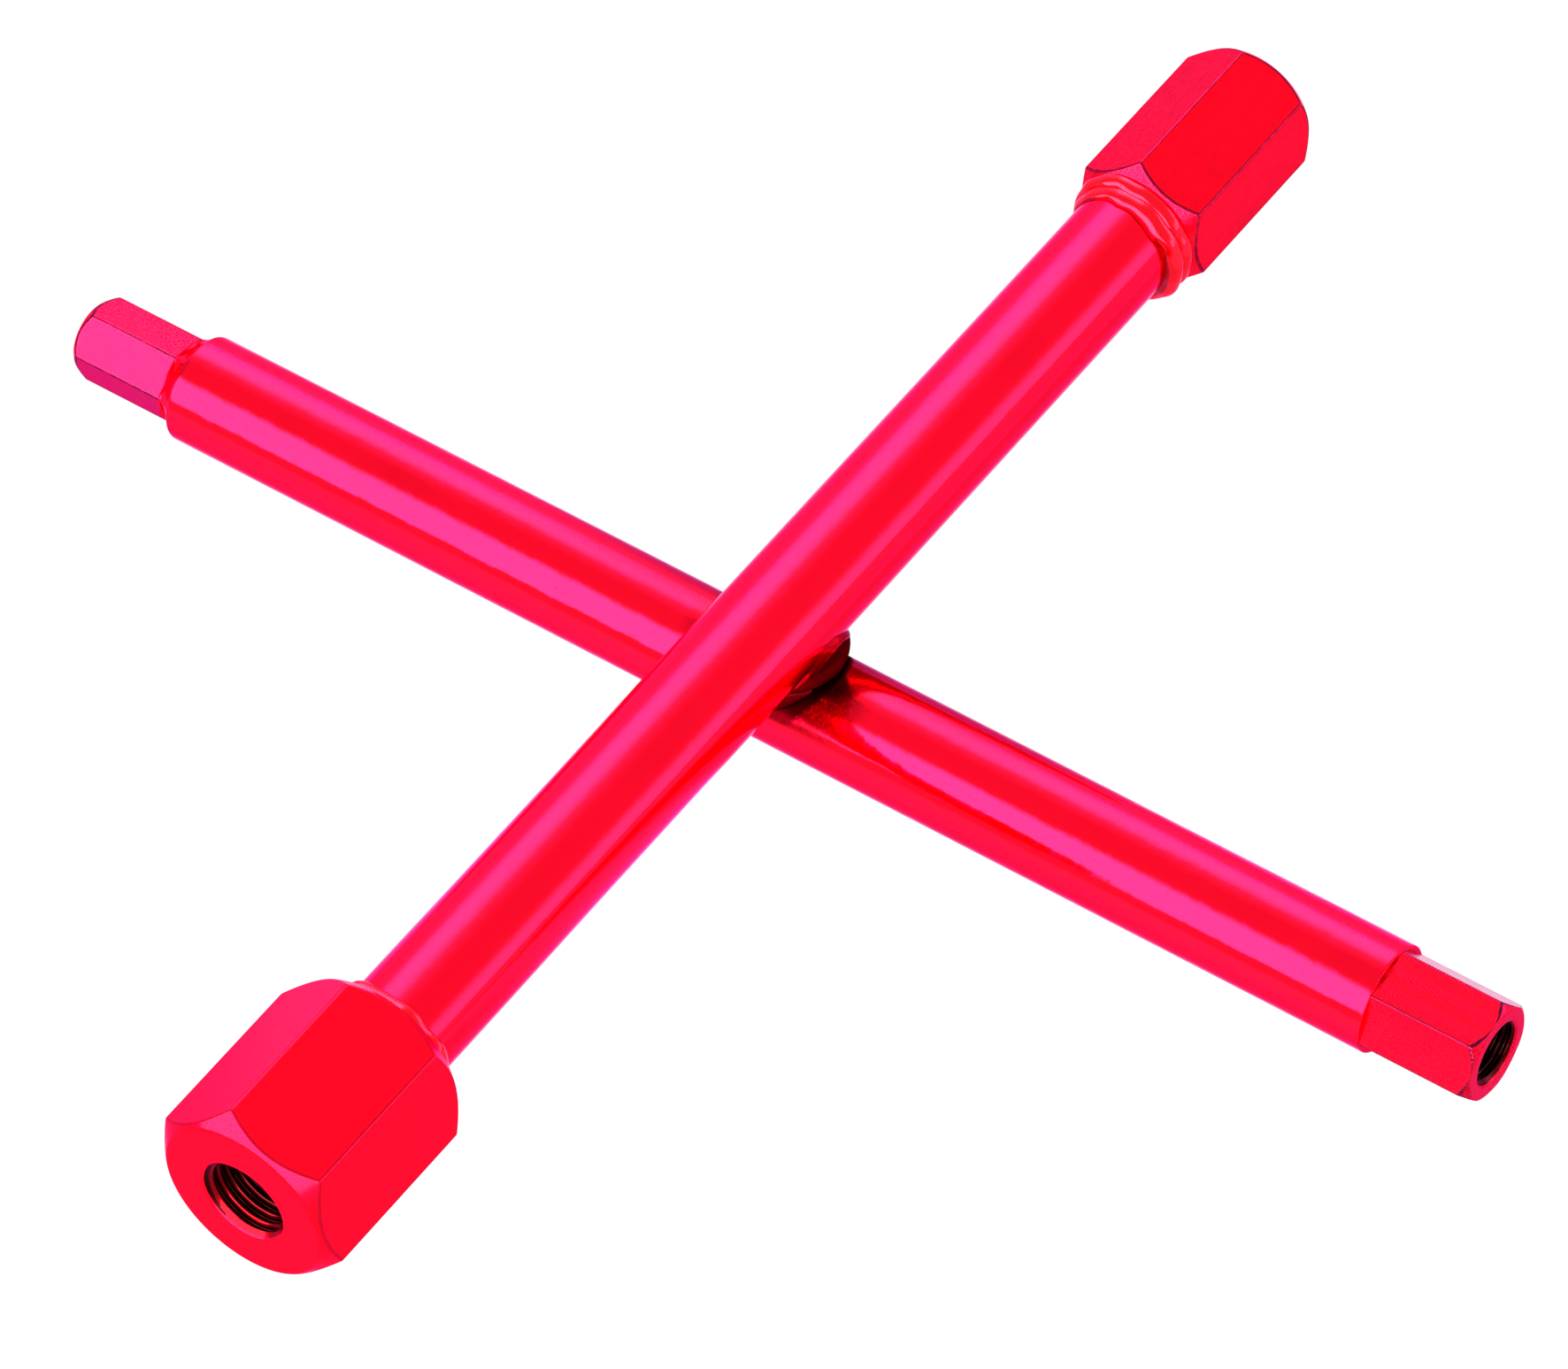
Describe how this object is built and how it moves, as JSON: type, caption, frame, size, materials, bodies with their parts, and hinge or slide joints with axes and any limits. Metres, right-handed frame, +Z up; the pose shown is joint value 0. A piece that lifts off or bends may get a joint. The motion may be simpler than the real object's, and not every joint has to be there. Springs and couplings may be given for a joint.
{
  "type": "lug wrench",
  "caption": "Folding cross wrench: round bars stacked on an upright pivot, with hexagonal heads of different sizes welded or fitted at the bar ends, some with tapped bores.",
  "frame": {"origin": "on the pivot axis, at the face of the pivot screw, level with the underside of the lower bar", "axes": "+Z up along the pivot axis; +X along the lower bar towards its tapped hexagon; +Y along the upper bar towards its medium head"},
  "size_m": [0.2934, 0.2995, 0.0491],
  "materials": {
    "red_lacquer": "glossy translucent red lacquer over bright steel",
    "weld_lacquer": "the same red lacquer run over rippled weld metal",
    "plated_steel": "zinc plated, turned",
    "spring_steel": "oiled dark spring steel",
    "bearing_bronze": "turned bearing bronze"
  },
  "bodies": {
    "lower_bar": {"lower_tube": "red_lacquer", "small_hex_bit": "red_lacquer", "small_bit_weld": "weld_lacquer", "tapped_hex_bit": "red_lacquer", "lower_saddle_boss": "red_lacquer", "pivot_bush": "bearing_bronze", "thrust_washer": "bearing_bronze", "upper_disc_spring": "spring_steel", "lower_disc_spring": "spring_steel"},
    "upper_bar": {"upper_tube": "red_lacquer", "large_hex_head": "red_lacquer", "large_head_weld": "weld_lacquer", "medium_hex_head": "red_lacquer", "medium_head_root_weld": "weld_lacquer", "medium_head_cap_weld": "weld_lacquer", "upper_saddle_boss": "red_lacquer", "boss_weld_east": "weld_lacquer", "boss_weld_west": "weld_lacquer", "pivot_nut": "plated_steel", "pivot_screw": "plated_steel"}
  },
  "joints": [
    {"name": "fold", "type": "hinge", "parent": "lower_bar", "child": "upper_bar", "pos_m": [0, 0, 0], "axis": [0, 0, 1], "range_deg": [0, 78]}
  ]
}
